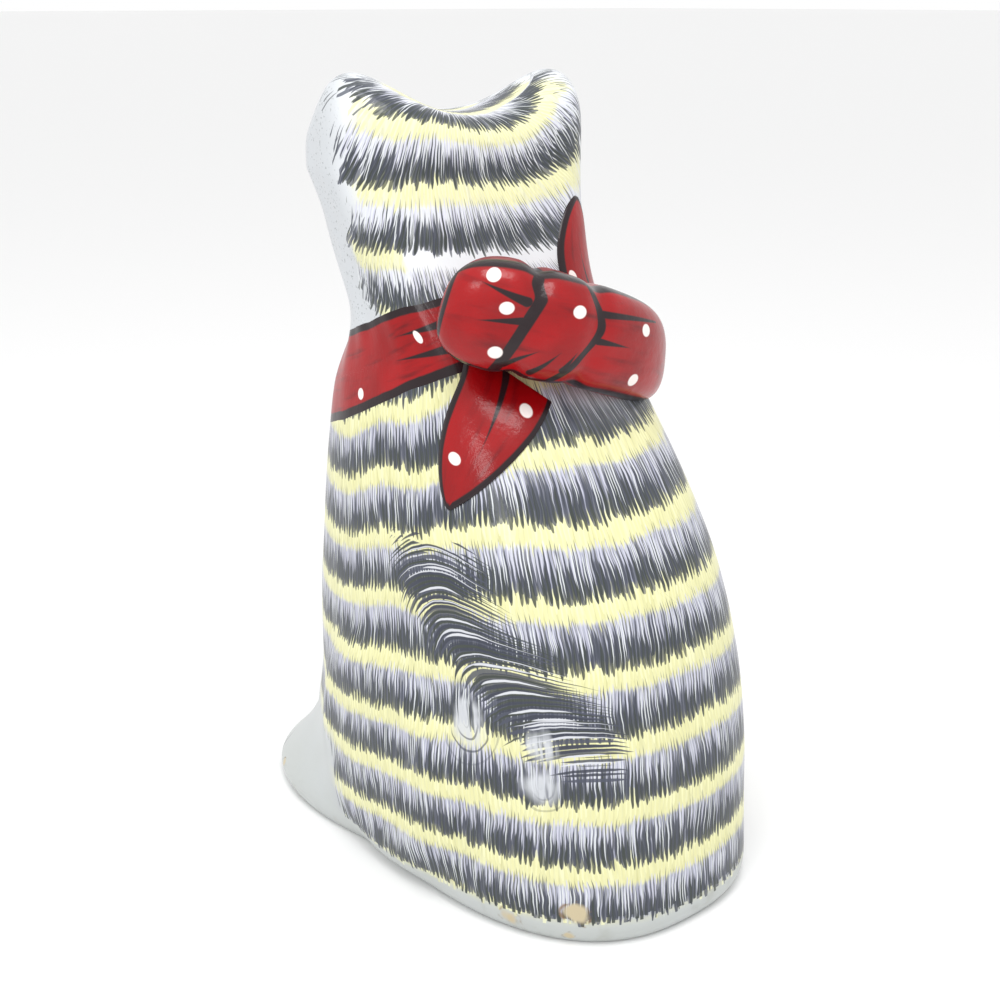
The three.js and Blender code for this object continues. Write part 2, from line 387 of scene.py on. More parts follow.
RIBBON_MIDDLE = 197 + 19 * np.cos(np.radians(ANGLE))
RIBBON_HALF = 10 + 4.5 * (1 - np.cos(np.radians(ANGLE)))
climbed = np.where(OVER > 0, 264 + np.interp(OVER, overs[-len(over_steps):], over_length), HEIGHT)
UP = climbed.copy()
UP[: len(under_steps)] = -40 * (1 - share[: len(under_steps), 0])
ABOVE = HEIGHT + OVER * 40 > RIBBON_MIDDLE

size = np.abs(ANGLE)
period = 24 - 2.2 * ease(35, 75, size) - ease(80, 120, size)
lowest = 29.5 + 2 * bump(size, 60, 15) - 5 * ease(80, 120, size)
body_bands = (UP - lowest) / period
rim = crown(*(rings[len(under_steps) + len(wall_heights) + 20, :, :2]).T)
ear_stretch = 1 + 0.75 * np.clip((rim - 285) / 19, 0, 1) * ease(235, 262, UP) * (UP < 300)
head_up = 240 + (UP - 240) / ear_stretch
head_bands = (head_up - 236) / 22 + 20
DOWN = -np.where(ABOVE, head_bands, body_bands)

on_paws = ease(112, 127, size) * (1 - ease(38, 50, UP))
body_cover = ease(8, 13, UP) * (1 - ease(130, 156, size)) * (1 - on_paws)
fade_from = 64 + 16 * (1 - ease(236, 250, UP))
head_cover = 1 - ease(fade_from - 12, fade_from + 12, size)
COVER = np.where(ABOVE, head_cover, body_cover)
low_yellow = ease(47, 51, size) * (1 - ease(74, 82, size))
yellow_cover = np.where(ABOVE & (head_up < 246), low_yellow, COVER)
yellow_cover = np.where(ABOVE, yellow_cover * (1 - ease(58, 68, size) * (head_up > 246)), yellow_cover)
print("bands between floor and crown:", round(float(DOWN.max() - DOWN.min())), "in all")

# %% The coat's own values, and its mesh
from_axis = rings[..., 1] - (FRONT[-1] + BACK[-1]) / 2
HEAD_X = rings[..., 0] * math.cos(HEAD_TURN) + from_axis * math.sin(HEAD_TURN)
HEAD_Y = from_axis * math.cos(HEAD_TURN) - rings[..., 0] * math.sin(HEAD_TURN)
values = {
    "place": np.stack([ANGLE, UP, ABOVE.astype(float)], -1),
    "fur": np.stack([AROUND, DOWN, COVER], -1),
    "more": np.stack([yellow_cover, (UP - RIBBON_MIDDLE) / RIBBON_HALF, RIBBON_HALF], -1),
    "head": np.stack([HEAD_X, HEAD_Y, rings[..., 2]], -1),
}
painted_coat = shell("painted_coat", rings[:, :-1], foot_middle, coat(0.0, CROWN_START, 1.0), values)

# %% [markdown]
# ## The bow and the two ribbon ends
#
# Each takes the same kind of shell. Rounder steps near the ends of the roll keep its caps smooth,
# and a few sharp little waves that run out from the knot are the creases of gathered ribbon.

# %% The bow
BOW_ROWS, BOW_COLUMNS = 150, 96
along_steps = np.sin(np.linspace(-1, 1, BOW_ROWS + 2)[1:-1] * np.pi / 2)
around_steps = np.linspace(-np.pi, np.pi, BOW_COLUMNS + 1)
ROUND, ALONG = np.meshgrid(around_steps, along_steps)
bow_rings, bow_rise = bow(ALONG, ROUND)
facing = np.clip(np.cos(ROUND), 0, 1)
from_knot = np.clip(np.abs(ALONG + 0.27) - 0.2, 0, 1)
crease = np.sin(ROUND * 7 + 3 * ALONG) + 0.6 * np.sin(ROUND * 12 - 5 * ALONG + 1)
crease *= bump(from_knot, 0.12, 0.18) * facing
outwards = np.stack([np.sin(np.radians(6 - 51 * ALONG)), np.cos(np.radians(6 - 51 * ALONG)), 0 * ALONG], -1)
bow_rings = bow_rings + 0.3 * crease[..., None] * outwards
bow_values = {"bow": np.stack([ALONG, bow_rise, np.degrees(ROUND)], -1)}
bow_ends = bow(np.array([-1.0, 1.0]), np.zeros(2))[0]
neck_bow = shell("neck_bow", bow_rings[:, :-1], bow_ends[0], bow_ends[1], bow_values)


# %% The ribbon ends
def ribbon_end(name, end, rows=70, across=64):
    """A leaf: over the raised face from its left edge to its right, and back inside the coat."""
    turn = np.linspace(0, 1, across + 1)
    face_share = 0.7
    top = turn <= face_share
    share = np.where(top, 1 - 2 * turn / face_share, -1 + 2 * (turn - face_share) / (1 - face_share))
    raised = np.where(top, (1 - np.abs(share) ** 5) ** 0.6 * 1.08, -2 * (1 - share**6))
    along = np.linspace(0, 1, rows + 1)[:-1]
    SHARE, LONG = np.meshgrid(share, along)
    RAISED = np.meshgrid(raised, along)[0] * end["raised"] * (1 - 0.5 * LONG[:, :] ** 6)
    angle, height = on_end(end, LONG, SHARE)
    points = coat(angle, height, 0.0, RAISED)
    place = np.stack([angle, height, LONG], -1)
    narrowing = [(1 - LONG ** end[side][0]) ** end[side][1] for side in ("left", "right")]
    to_edge = (1 - np.abs(SHARE)) * end["half"] * np.where(SHARE > 0, *narrowing)
    leaf = np.stack([SHARE, LONG, to_edge], -1)
    ends = [coat(*on_end(end, np.array(a), np.array(0.0)), 0.0, 0.0) for a in (0.0, 1.0)]
    return shell(name, points[:, :-1], *ends, {"place": place, "leaf": leaf})


lower_ribbon_end = ribbon_end("lower_ribbon_end", LOWER_END)
upper_ribbon_end = ribbon_end("upper_ribbon_end", UPPER_END)

# %% [markdown]
# ## Arithmetic on a surface
#
# A painted pattern is arithmetic: for every point, how far along which stroke is it? Blender's
# shader nodes can do that sum, but a sum drawn as hundreds of boxes is hard to read. The small class
# below lets the sum be written as a sum: each plus or minus sign adds one Math node.


# %% A number at every point
class Field:
    """A socket that gives a number at every point of the surface; arithmetic on it adds nodes."""

    def __init__(self, tree, socket):
        self.tree, self.socket = tree, socket

    def math(self, operation, *others):
        node = self.tree.nodes.new("ShaderNodeMath")
        node.operation = operation
        for slot, value in zip(node.inputs, (self, *others)):
            join(slot, value)
        return Field(self.tree, node.outputs[0])

    def __add__(self, other):
        return self.math("ADD", other)

    def __sub__(self, other):
        return self.math("SUBTRACT", other)

    def __mul__(self, other):
        return self.math("MULTIPLY", other)

    def __truediv__(self, other):
        return self.math("DIVIDE", other)

    def __pow__(self, other):
        return self.math("POWER", other)

    def __neg__(self):
        return self * -1

    def __radd__(self, other):
        return self + other

    def __rmul__(self, other):
        return self * other

    def __rsub__(self, other):
        return -self + other

    def floor(self):
        return self.math("FLOOR")

    def size(self):
        return self.math("ABSOLUTE")

    def least(self, other):
        return self.math("MINIMUM", other)

    def most(self, other):
        return self.math("MAXIMUM", other)


def join(slot, value):
    """Links a field or a socket to the slot, or sets the slot to a plain number or colour."""
    if isinstance(value, Field):
        slot.id_data.links.new(value.socket, slot)
    elif isinstance(value, bpy.types.NodeSocket):
        slot.id_data.links.new(value, slot)
    else:
        slot.default_value = value


print("a field adds with + and multiplies with *")


# %% Steps, hills and noise for fields
def step(start, end, field):
    """ease() for a field: 0 at start, 1 at end, soft in between."""
    node = field.tree.nodes.new("ShaderNodeMapRange")
    node.interpolation_type = "SMOOTHSTEP"
    for label, value in (("Value", field), ("From Min", start), ("From Max", end)):
        join(node.inputs[label], value)
    return Field(field.tree, node.outputs[0])


def hill(field, centre, width):
    """bump() for a field."""
    away = (field - centre) / width
    return (-(away * away)).math("EXPONENT")


def vector(tree, *parts):
    """Three numbers or fields as one vector socket."""
    node = tree.nodes.new("ShaderNodeCombineXYZ")
    for slot, value in zip(node.inputs, parts):
        join(slot, value)
    return node.outputs[0]


def attribute(tree, label):
    """The three numbers of a mesh attribute, as fields."""
    source = tree.nodes.new("ShaderNodeAttribute")
    source.attribute_name = label
    split = tree.nodes.new("ShaderNodeSeparateXYZ")
    join(split.inputs[0], source.outputs["Vector"])
    return [Field(tree, socket) for socket in split.outputs]


def cloud(tree, where, scale, detail=2.0, roughness=0.5):
    """Soft noise from 0 to 1, with about `scale` patches to each unit of the vector."""
    node = tree.nodes.new("ShaderNodeTexNoise")
    join(node.inputs["Vector"], where)
    for label, value in (("Scale", scale), ("Detail", detail), ("Roughness", roughness)):
        join(node.inputs[label], value)
    return Field(tree, node.outputs["Fac"])


def chance(tree, *parts):
    """Four numbers from 0 to 1 that are the same wherever the three given ones are."""
    node = tree.nodes.new("ShaderNodeTexWhiteNoise")
    node.noise_dimensions = "3D"
    join(node.inputs["Vector"], vector(tree, *parts))
    split = tree.nodes.new("ShaderNodeSeparateColor")
    join(split.inputs[0], node.outputs["Color"])
    return [Field(tree, node.outputs["Value"])] + [Field(tree, socket) for socket in split.outputs]


def colour(red, green, blue):
    """A colour in the usual 0 to 255, as the linear light that Blender mixes."""
    share = np.array([red, green, blue]) / 255
    linear = np.where(share <= 0.04045, share / 12.92, ((share + 0.055) / 1.055) ** 2.4)
    return (*linear.tolist(), 1.0)


def over(tree, under, paint, amount):
    """One layer of paint on another: the amount of it that covers is from 0 to 1."""
    node = tree.nodes.new("ShaderNodeMix")
    node.data_type = "RGBA"
    join(node.inputs["Factor"], amount)
    join(node.inputs["A"], under)
    join(node.inputs["B"], paint)
    return node.outputs["Result"]


print("mid grey in linear light:", [round(part, 3) for part in colour(128, 128, 128)[:3]])

# %% [markdown]
# ## One brush stroke, then thousands
#
# A stroke starts thin where the brush touches down, widens as it is pressed, and leaves a point
# where it lifts. Its half width along its length q is therefore q^rise x (1 - q)^fall. Each band is
# split into columns, each column holds one stroke, and chance moves its ends and its side. One node
# group does this, and every kind of fur on the cat is that group with other numbers.

# %% The stroke group
STROKE_INPUTS = {
    "Around": 0.0, "Down": 0.0, "Columns": 300.0, "Top": 0.3, "Bottom": 0.9, "Ragged": 0.2,
    "Width": 0.4, "Rise": 0.6, "Fall": 0.4, "Lean": 0.0, "Cover": 1.0, "Seed": 0.0,
}
stroke_group = bpy.data.node_groups.new("brush strokes", "ShaderNodeTree")
for label, value in STROKE_INPUTS.items():
    slot = stroke_group.interface.new_socket(label, in_out="INPUT", socket_type="NodeSocketFloat")
    slot.default_value = value
for label in ("Stroke", "Tone"):
    stroke_group.interface.new_socket(label, in_out="OUTPUT", socket_type="NodeSocketFloat")
entry = stroke_group.nodes.new("NodeGroupInput")
ask = {label: Field(stroke_group, entry.outputs[label]) for label in STROKE_INPUTS}

band = ask["Down"].floor()
part = ask["Down"] - band
narrowing = step(2.5, 8.5, -band)
columns = (ask["Columns"] * (1 - narrowing * 0.4)).math("ROUND")
sideways = ask["Around"] * columns + ask["Lean"] * (part - 0.6)
column = sideways.floor()
presence, first_chance, second_chance, third_chance = chance(stroke_group, column, band, ask["Seed"])
top = ask["Top"] + ask["Ragged"] * (first_chance - 0.5)
bottom = ask["Bottom"] + ask["Ragged"] * (second_chance - 0.5)
q = ((part - top) / (bottom - top)).most(0).least(1)
half = ask["Width"] * q ** ask["Rise"] * (1 - q) ** ask["Fall"]
side = (third_chance - 0.5) * (1 - ask["Width"])
inside = half - (sideways - column - 0.5 - side).size()
painted = step(0.0, 0.14, inside) * presence.math("LESS_THAN", ask["Cover"])
leave = stroke_group.nodes.new("NodeGroupOutput")
join(leave.inputs["Stroke"], painted)
join(leave.inputs["Tone"], first_chance)


def strokes(tree, around, down, cover, **numbers):
    """The stroke mask and a random tone for each stroke; the width is the share of a column."""
    node = tree.nodes.new("ShaderNodeGroup")
    node.node_tree = stroke_group
    rise, fall = numbers.get("Rise", 0.6), numbers.get("Fall", 0.4)
    widest = rise / (rise + fall)
    peak = widest**rise * (1 - widest) ** fall
    numbers["Width"] = numbers.get("Width", 0.45) / peak
    for label, value in (("Around", around), ("Down", down), ("Cover", cover), *numbers.items()):
        join(node.inputs[label], value)
    return Field(tree, node.outputs["Stroke"]), Field(tree, node.outputs["Tone"])


print("the stroke group has", len(stroke_group.nodes), "nodes")

# %% [markdown]
# ## Bare materials
#
# Everything is the same thing underneath: acrylic paint with a coat of clear varnish. It has a
# satin base, a thin glossy coat, and the faint unevenness of pasted paper.


# %% A varnished paint
def varnished(name, gloss, tint):
    """A new material, its node tree and its shader; tint is the colour shown in plain views."""
    material = bpy.data.materials.new(name)
    material.use_nodes = True
    material.diffuse_color = tint
    tree = material.node_tree
    shader = tree.nodes["Principled BSDF"]
    shader.inputs["Coat Weight"].default_value = gloss
    shader.inputs["Coat Roughness"].default_value = 0.16
    shader.inputs["Specular IOR Level"].default_value = 0.15
    return material, tree, shader


def dress(tree, shader, paint, roughness, height, strength, distance=0.0004):
    """Plugs colour, roughness and a bump height into the shader."""
    join(shader.inputs["Base Color"], paint)
    join(shader.inputs["Roughness"], roughness)
    bump_node = tree.nodes.new("ShaderNodeBump")
    bump_node.inputs["Strength"].default_value = strength
    bump_node.inputs["Distance"].default_value = distance
    join(bump_node.inputs["Height"], height)
    join(shader.inputs["Normal"], bump_node.outputs["Normal"])
    join(shader.inputs["Coat Normal"], bump_node.outputs["Normal"])


def here(tree):
    """The place of each point in the part's own frame, in metres."""
    return tree.nodes.new("ShaderNodeTexCoord").outputs["Object"]


print("paints share one recipe: base, varnish, bump")

# %% [markdown]
# ## Painting the fur
#
# The order is the painter's: grey-white primer, with painted shade that darkens it low down and on the
# sides of the head, a lavender wash under the dark bands, the pale yellow bands, dark strokes from thin
# to thick, and last the thin white hairs that separate them.

# %% Primer with painted shade, wash and yellow
fur_paint, tree, shader = varnished("painted fur", 0.35, colour(200, 200, 195))
angle, up, on_head = attribute(tree, "place")
around_raw, down_raw, cover = attribute(tree, "fur")
yellow_cover_here, across_ribbon, ribbon_half = attribute(tree, "more")
where = here(tree)
drift = cloud(tree, where, 30.0) - 0.5
shiver = cloud(tree, where, 110.0) - 0.5
sag = cloud(tree, where, 22.0, 1.0) - 0.5
around = around_raw + drift * 0.011 + shiver * 0.0026
down = down_raw + sag * 0.16 + (cloud(tree, where, 70.0) - 0.5) * 0.10
lean = on_head * (angle - 20) * -0.22

streak = cloud(tree, vector(tree, around * 260, down * 1.1, 0.0), 1.0, 2.0)
part = down - down.floor()
# Painted shade: the primer goes from grey at the foot to near white 190 mm up, as under a lamp above.
primer_and_shade = over(tree, colour(186, 190, 188), colour(228, 231, 234), step(0, 190, up))
primer_and_shade = over(tree, primer_and_shade, colour(196, 200, 205), step(0.5, 0.8, cloud(tree, where, 14.0)) * 0.6)
# Painted shade: a darker grey over both sides of the head.
primer_and_shade = over(
    tree, primer_and_shade, colour(190, 194, 198),
    on_head * step(58, 78, angle.size()) * (1 - step(110, 150, angle.size())) * 0.7,
)
wash = step(0.1, 0.3, part) * (1 - step(0.75, 0.95, part)) * cover
paint = over(tree, primer_and_shade, colour(160, 162, 180), wash * step(0.15, 0.6, streak) * (1 - on_head * 0.75))

half_down = down + 0.5
part_half = half_down - half_down.floor() - 0.5
edge_noise = (streak - 0.5) * 0.22
yellow_core = (1 - step(0.17, 0.26, (part_half + edge_noise * 0.5).size())) * yellow_cover_here
yellow_tone = over(tree, colour(226, 225, 180), colour(202, 200, 145), step(0.35, 0.75, streak))
paint = over(tree, paint, yellow_tone, yellow_core * (1 - on_head * 0.25))
for seed, top, bottom, columns, shade in (
    (11.0, 0.2, 0.62, 300.0, (238, 237, 190)),
    (12.0, 0.33, 0.80, 330.0, (222, 220, 165)),
):
    mask, tone = strokes(
        tree, around, half_down, yellow_cover_here * 0.9, Columns=columns, Top=top, Bottom=bottom,
        Ragged=0.14, Width=0.42, Rise=0.5, Fall=0.6, Lean=lean, Seed=seed,
    )
    paint = over(tree, paint, colour(*shade), mask * (0.55 + tone * 0.4))
print("layers so far use", len(tree.nodes), "nodes")

# %% Dark strokes and white hairs
LAYERS = (
    # columns, top, bottom, ragged, width, rise, fall, cover, opacity, colour
    (430.0, 0.14, 0.55, 0.20, 0.26, 0.7, 0.7, 0.85, 0.80, (104, 106, 96)),
    (370.0, 0.18, 0.62, 0.22, 0.28, 0.8, 0.6, 0.80, 0.85, (88, 90, 100)),
    (250.0, 0.36, 0.88, 0.16, 0.49, 0.8, 0.35, 0.96, 0.90, (84, 88, 100)),
    (330.0, 0.28, 0.90, 0.20, 0.44, 0.9, 0.5, 0.90, 0.92, (70, 74, 86)),
    (290.0, 0.42, 0.95, 0.16, 0.44, 0.9, 0.5, 0.92, 0.95, (58, 64, 60)),
    (410.0, 0.28, 0.84, 0.26, 0.34, 0.9, 0.6, 0.85, 0.92, (66, 70, 80)),
    (380.0, 0.20, 0.62, 0.24, 0.30, 0.5, 0.9, 0.62, 0.90, (206, 207, 222)),
    (470.0, 0.34, 0.80, 0.34, 0.26, 0.5, 0.8, 0.34, 0.90, (222, 226, 228)),
)
for seed, (columns, top, bottom, ragged, width, rise, fall, share, strength, shade) in enumerate(LAYERS):
    here_share = cover * share * (1 - on_head * (0.55 if top < 0.2 else 0.0))
    mask, tone = strokes(
        tree, around, down, here_share, Columns=columns, Top=top, Bottom=bottom, Ragged=ragged,
        Width=width, Rise=rise, Fall=fall, Lean=lean, Seed=float(seed),
    )
    paint = over(tree, paint, colour(*shade), mask * (strength - tone * 0.15))
print("with all strokes it is", len(tree.nodes), "nodes")

# %% [markdown]
# ## Where the fur turns
#
# On the left flank the bands break: a dark strip runs down with its strokes laid across it, ending
# in a small whorl. It is the same stroke group, with height as "around" and width as "down".

# %% The crossing strip and its whorl
SLATE = colour(62, 66, 80)
FLANK_MM = 1.22  # millimetres to a degree on the flank
GIRTH = 520  # millimetres round the body
strip_middle = 29 + step(70, 132, up) * 37
strip_mm = (angle - strip_middle) * FLANK_MM + drift * 9
strip_half = 10 + step(60, 120, up) * 9
strip_cover = step(62, 88, up) * (1 - step(134, 144, up)) * (1 - on_head)
strip_around = (up + strip_mm * 0.15 + strip_mm * strip_mm * 0.014 + shiver * 1.2) / GIRTH
strip_down = (strip_mm / 60 + 0.5).most(0.01).least(0.99)
for seed, columns, grow, width, share, shade in (
    (21.0, 290.0, 1.25, 0.46, 0.95, (74, 78, 92)), (22.0, 350.0, 1.0, 0.44, 0.85, (58, 62, 74)),
    (23.0, 320.0, 1.4, 0.30, 0.60, (62, 68, 62)), (24.0, 330.0, 0.5, 0.30, 0.38, (214, 216, 222)),
    (25.0, 400.0, 1.1, 0.24, 0.20, (205, 207, 214)),
):
    reach = strip_half * grow / 60
    mask, tone = strokes(
        tree, strip_around, strip_down, strip_cover * share, Columns=columns, Top=0.5 - reach,
        Bottom=0.5 + reach, Ragged=0.14, Width=width, Rise=0.5, Fall=0.5, Seed=seed,
    )
    paint = over(tree, paint, colour(*shade), mask * 0.92)
# angle, height, radius in mm, and how strongly dark arcs curl under it
WHORLS = ((56.0, 80.0, 8.5, 0.7), (38.0, 62.0, 7.5, 0.35), (37.0, 77.0, 6.0, 0.0))
for turn_at, turn_up, size_mm, curl in WHORLS:
    side_mm, rise_mm = (angle - turn_at) * FLANK_MM + drift * 12, (up - turn_up) * 0.75 + shiver * 5
    away = (side_mm * side_mm + rise_mm * rise_mm).math("SQRT") + drift * 8 + shiver * 5
    patch = (1 - step(size_mm * 0.4, size_mm, away)) * (1 - on_head)
    paint = over(tree, paint, colour(204, 207, 212), patch * step(0.3, 0.55, streak) * 0.9)
    arcs = step(0.75, 0.97, (away * 1.9).math("SINE")) * (1 - step(size_mm, size_mm * 1.5, away))
    arcs = arcs * (1 - step(-4.0, 1.0, rise_mm + side_mm * 0.3)) * (1 - on_head)
    paint = over(tree, paint, SLATE, arcs * curl)
print("strip and whorls;", len(tree.nodes), "nodes")

# %% Ticks on the ears, specks on the cheeks, stains and painted shade at the foot
ear_cover = on_head * step(276, 288, up) * step(50, 62, angle.size()) * (1 - step(95, 110, angle.size()))
mask, tone = strokes(
    tree, around, down * 2.3, ear_cover * 0.85, Columns=330.0, Top=0.2, Bottom=0.8, Ragged=0.3,
    Width=0.3, Lean=lean * 0.6, Seed=31.0,
)
paint = over(tree, paint, colour(88, 92, 96), mask * 0.85)
speck = step(0.64, 0.70, cloud(tree, where, 900.0, 1.0)) * on_head * step(60, 84, angle.size())
paint = over(tree, paint, colour(120, 126, 126), speck * 0.6)
under_bow = hill(angle, -8, 16) * hill(up, 190, 7)
paint = over(tree, paint, colour(212, 214, 220), under_bow * step(0.25, 0.6, streak) * 0.9)
# Painted shade: patchy darker grey-brown over the lowest 20 mm of the foot.
foot_shade = step(0.55, 0.75, cloud(tree, where, 55.0, 4.0)) * (1 - step(4, 20, up))
paint = over(tree, paint, colour(150, 150, 138), foot_shade * 0.5)
# angle, height and radius in mm
STAINS = ((46.0, 6.0, 4.0), (30.0, 13.0, 4.5), (32.0, 4.0, 2.5), (148.0, 9.0, 2.0))
for stain_at, stain_up, stain_mm in STAINS:
    side_mm, rise_mm = (angle - stain_at) * 1.5, up - stain_up
    away = (side_mm * side_mm + rise_mm * rise_mm).math("SQRT") + shiver * 8
    paint = over(tree, paint, colour(196, 182, 150), 1 - step(stain_mm * 0.5, stain_mm, away))
    ring = step(stain_mm * 0.7, stain_mm, away) * (1 - step(stain_mm, stain_mm * 1.25, away))
    paint = over(tree, paint, colour(128, 100, 62), ring * step(0.45, 0.6, cloud(tree, where, 200.0)) * 0.8)

# %% [markdown]
# ## The ribbon round the neck
#
# The ribbon is flat paint on the coat: red between two curves, with a black line along both edges.
# Its folds are tapered strokes: the distance to a line, less a width that shrinks along it.


# %% Tapered lines
def fold(x, y, start, end, wide, narrow):
    """1 on a line from start to end whose half width goes from wide to narrow."""
    (x1, y1), (x2, y2) = start, end
    dx, dy = x2 - x1, y2 - y1
    share = (((x - x1) * dx + (y - y1) * dy) / (dx * dx + dy * dy)).most(0).least(1)
    away_x = x - x1 - share * dx
    away_y = y - y1 - share * dy
    away = (away_x * away_x + away_y * away_y).math("SQRT")
    return step(0.0, 0.5, (wide + share * (narrow - wide)) - away)


def any_of(fields):
    """The largest of several fields at each point."""
    result = fields[0]
    for field in fields[1:]:
        result = result.most(field)
    return result


# %% Red, black and white
BLACK = colour(34, 20, 24)
SPOT = colour(246, 236, 232)
RED = colour(140, 2, 7)
DEEP_RED = colour(78, 1, 9)


def spots(tree, x, y, places, radius):
    """Round dots: 1 within the radius of any of the places, both in the units of x and y."""
    total = None
    for px, py in places:
        away = ((x - px) * (x - px) + (y - py) * (y - py)).math("SQRT")
        dot = 1 - step(radius * 0.86, radius * 1.08, away)
        total = dot if total is None else total.most(dot)
    return total


def brushed_red(tree, where, streaks):
    """Red paint with darker brush marks in it."""
    patchy = step(0.35, 0.7, cloud(tree, where, 45.0, 3.0))
    return over(tree, over(tree, RED, colour(160, 5, 12), patchy), DEEP_RED, step(0.5, 0.85, streaks) * 0.8)


print("dots are", SPOT[:3])

# %% Ribbon, edges and dots on the coat
ribbon_mm = across_ribbon * ribbon_half
to_upper = ribbon_half - ribbon_mm + shiver * 1.2
to_lower = ribbon_half + ribbon_mm + shiver * 1.2
on_ribbon = to_upper.math("GREATER_THAN", 0.0) * to_lower.math("GREATER_THAN", 0.0)
wrinkle = cloud(tree, vector(tree, angle * 0.05, ribbon_mm * 0.35, 3.0), 1.0, 2.0)
ribbon_paint = brushed_red(tree, where, wrinkle)
border = (1 - step(2.0, 2.6, to_upper)).most(1 - step(3.0, 3.7, to_lower))
ribbon_paint = over(tree, ribbon_paint, BLACK, border)
arc = angle * 0.95
ribbon_folds = [((40, 215), (72, 207.5), 1.7, 0.1), ((46, 206), (76, 199), 1.7, 0.1)]
ribbon_folds += [((-44, 210), (-74, 204), 1.5, 0.1), ((-50, 200), (-78, 195), 1.5, 0.1)]
drawn = [fold(arc, up, start, end, wide, narrow) for start, end, wide, narrow in ribbon_folds]
ribbon_paint = over(tree, ribbon_paint, BLACK, any_of(drawn))
dots = spots(tree, arc, up, [(58, 209), (98, 184), (138, 189), (-70, 206), (-104, 194), (-142, 180)], 2.1)
ribbon_paint = over(tree, ribbon_paint, SPOT, dots)
paint = over(tree, paint, ribbon_paint, on_ribbon)
print("ribbon painted;", len(tree.nodes), "nodes")

# %% [markdown]
# ## The face
#
# The face is a plain cat's face of the usual kind, in the same hand as the rest:
# almond eyes, pink nose, a small mouth and whiskers. Both halves are one drawing, folded at the nose.


# %% Eyes, nose, mouth and whiskers
FACE_MM = 0.92  # millimetres to a degree on the face
front_mm = (180 - angle.size()) * FACE_MM
facing = on_head * (1 - step(75, 80, front_mm))
eye_x, eye_y = front_mm - 24, up - 256 - (front_mm - 24) * 0.16
lid = (1 - eye_x * eye_x / 118) * 7.0 - eye_y.size()
iris = (eye_x * eye_x + eye_y * eye_y).math("SQRT")
slit = 1.5 - eye_x.size() - eye_y * eye_y * 0.05
paint = over(tree, paint, BLACK, step(-1.9, -1.3, lid) * facing)
paint = over(tree, paint, colour(240, 238, 215), step(0.0, 0.4, lid) * facing)
eye_open = step(0.0, 0.4, lid) * facing
paint = over(tree, paint, colour(96, 140, 62), (1 - step(5.6, 6.0, iris)) * eye_open)
paint = over(tree, paint, colour(164, 184, 84), (1 - step(2.6, 4.6, iris)) * eye_open)
paint = over(tree, paint, BLACK, step(0.0, 0.4, slit) * eye_open)
paint = over(tree, paint, SPOT, spots(tree, eye_x, eye_y, [(1.9, 2.6)], 1.1) * eye_open)
nose = ((up - 240) * 0.8 - front_mm).least(248.5 - up)
paint = over(tree, paint, BLACK, step(-1.2, -0.7, nose) * facing)
paint = over(tree, paint, colour(222, 138, 138), step(0.0, 0.4, nose) * facing)
mouth = [((0, 240), (0, 236)), ((0, 236), (4.5, 232.5)), ((4.5, 232.5), (10, 233.5))]
whiskers = [((13, 237), (44, 243)), ((13, 234.5), (46, 234)), ((12, 232), (42, 225))]
drawn = [fold(front_mm, up, start, end, 0.9, 0.8) for start, end in mouth]
drawn += [fold(front_mm, up, start, end, 0.7, 0.15) for start, end in whiskers]
drawn.append(spots(tree, front_mm, up, [(8, 238.5), (10, 235.5), (7.5, 234)], 0.8))
paint = over(tree, paint, BLACK, any_of(drawn) * facing)
brows = [((0, 268), (0, 290), 2.0, 0.5), ((8, 267), (11, 286), 1.8, 0.4), ((16, 267), (22, 282), 1.6, 0.3)]
brows += [((60, 246), (44, 243), 1.5, 0.3), ((62, 238), (47, 237), 1.5, 0.3)]
marks = [fold(front_mm + shiver * 3, up, start, end, wide, narrow) for start, end, wide, narrow in brows]
paint = over(tree, paint, SLATE, any_of(marks) * facing * 0.9)
toes = [((front, 3), (front * 0.9, 15), 0.9, 0.2) for front in (14, 24)]
toes.append(((0, 4), (0, 92), 1.0, 0.2))
low_body = 1 - step(100, 110, up)
marks = [fold(front_mm, up, start, end, wide, narrow) for start, end, wide, narrow in toes]
paint = over(tree, paint, SLATE, any_of(marks) * low_body * 0.85)
head_x, head_y, _ = attribute(tree, "head")
ear_x, ear_y = (head_x.size() - 44) / 10, (head_y + 3) / 7
ear_away = ear_x * ear_x + ear_y * ear_y
inside_ear = (1 - step(0.6, 1.2, ear_away)) * on_head * step(282, 287, up) * 0.9
paint = over(tree, paint, colour(226, 172, 168), inside_ear)
print("face drawn;", len(tree.nodes), "nodes")

# %% Its surface
paper = cloud(tree, where, 160.0, 4.0, 0.6)
relief_here = paper * 0.6 + streak * 0.25
roughness = 0.42 - on_ribbon * 0.1 + paper * 0.06
dress(tree, shader, paint, roughness, relief_here, 0.5)
painted_coat.data.materials.append(fur_paint)
print("fur paint:", len(tree.nodes), "nodes")

# %% [markdown]
# ## Red paint of the bow
#
# The roll becomes a bow by its paint: a strap across the knot between two black lines, and the
# same tapered black strokes for the folds.


